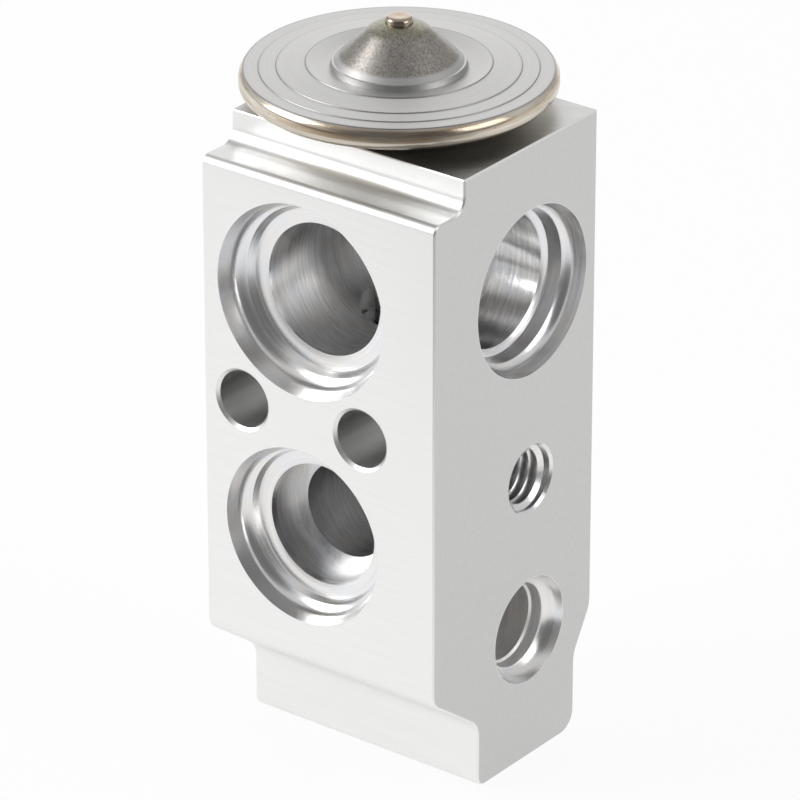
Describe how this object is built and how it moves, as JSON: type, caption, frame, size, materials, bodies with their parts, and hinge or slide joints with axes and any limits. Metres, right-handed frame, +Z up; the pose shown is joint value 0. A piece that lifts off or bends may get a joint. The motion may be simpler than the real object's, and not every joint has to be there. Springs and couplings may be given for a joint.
{
  "type": "thermostatic expansion valve",
  "caption": "Block-type expansion valve: machined aluminium body with crossing ports, bolt holes, a tapped hole and a steel diaphragm head on top.",
  "frame": {"origin": "valve axis at the underside of the foot", "axes": "+Z up the valve axis to the diaphragm head, -Y out of the evaporator face, +X out of the line face"},
  "size_m": [0.0372, 0.0366, 0.0889],
  "materials": {
    "body_aluminium": "machined satin",
    "head_steel": "drawn satin, straw heat tint at the rim",
    "plug_steel": "bright",
    "base_steel": "drawn satin, straw heat tint at the lip",
    "seal_rubber": "matt",
    "diaphragm_steel": "bright",
    "pad_brass": "turned",
    "rod_aluminium": "turned",
    "washer_steel": "bright",
    "pin_steel": "ground",
    "carrier_brass": "turned",
    "spring_steel": "drawn wire",
    "screw_brass": "turned"
  },
  "bodies": {
    "valve": {"valve_body": "body_aluminium", "head_cover": "head_steel", "charge_plug": "plug_steel", "head_base": "base_steel", "head_seal": "seal_rubber", "diaphragm": "diaphragm_steel", "rod_seal": "seal_rubber", "seal_washer": "washer_steel", "seal_retainer": "washer_steel", "superheat_spring": "spring_steel", "adjusting_screw": "screw_brass", "screw_seal": "seal_rubber"},
    "stem": {"diaphragm_pad": "pad_brass", "sensing_rod": "rod_aluminium", "push_pin": "pin_steel", "valve_ball": "pin_steel", "ball_carrier": "carrier_brass", "damper_ring": "washer_steel"}
  },
  "joints": [
    {"name": "stem_slide", "type": "slide", "parent": "valve", "child": "stem", "axis": [0, 0, 1], "range_m": [-0.0008, 0], "stiffness_N_per_m": 1000, "springref_m": 0.003, "deforming": ["superheat_spring"]}
  ]
}
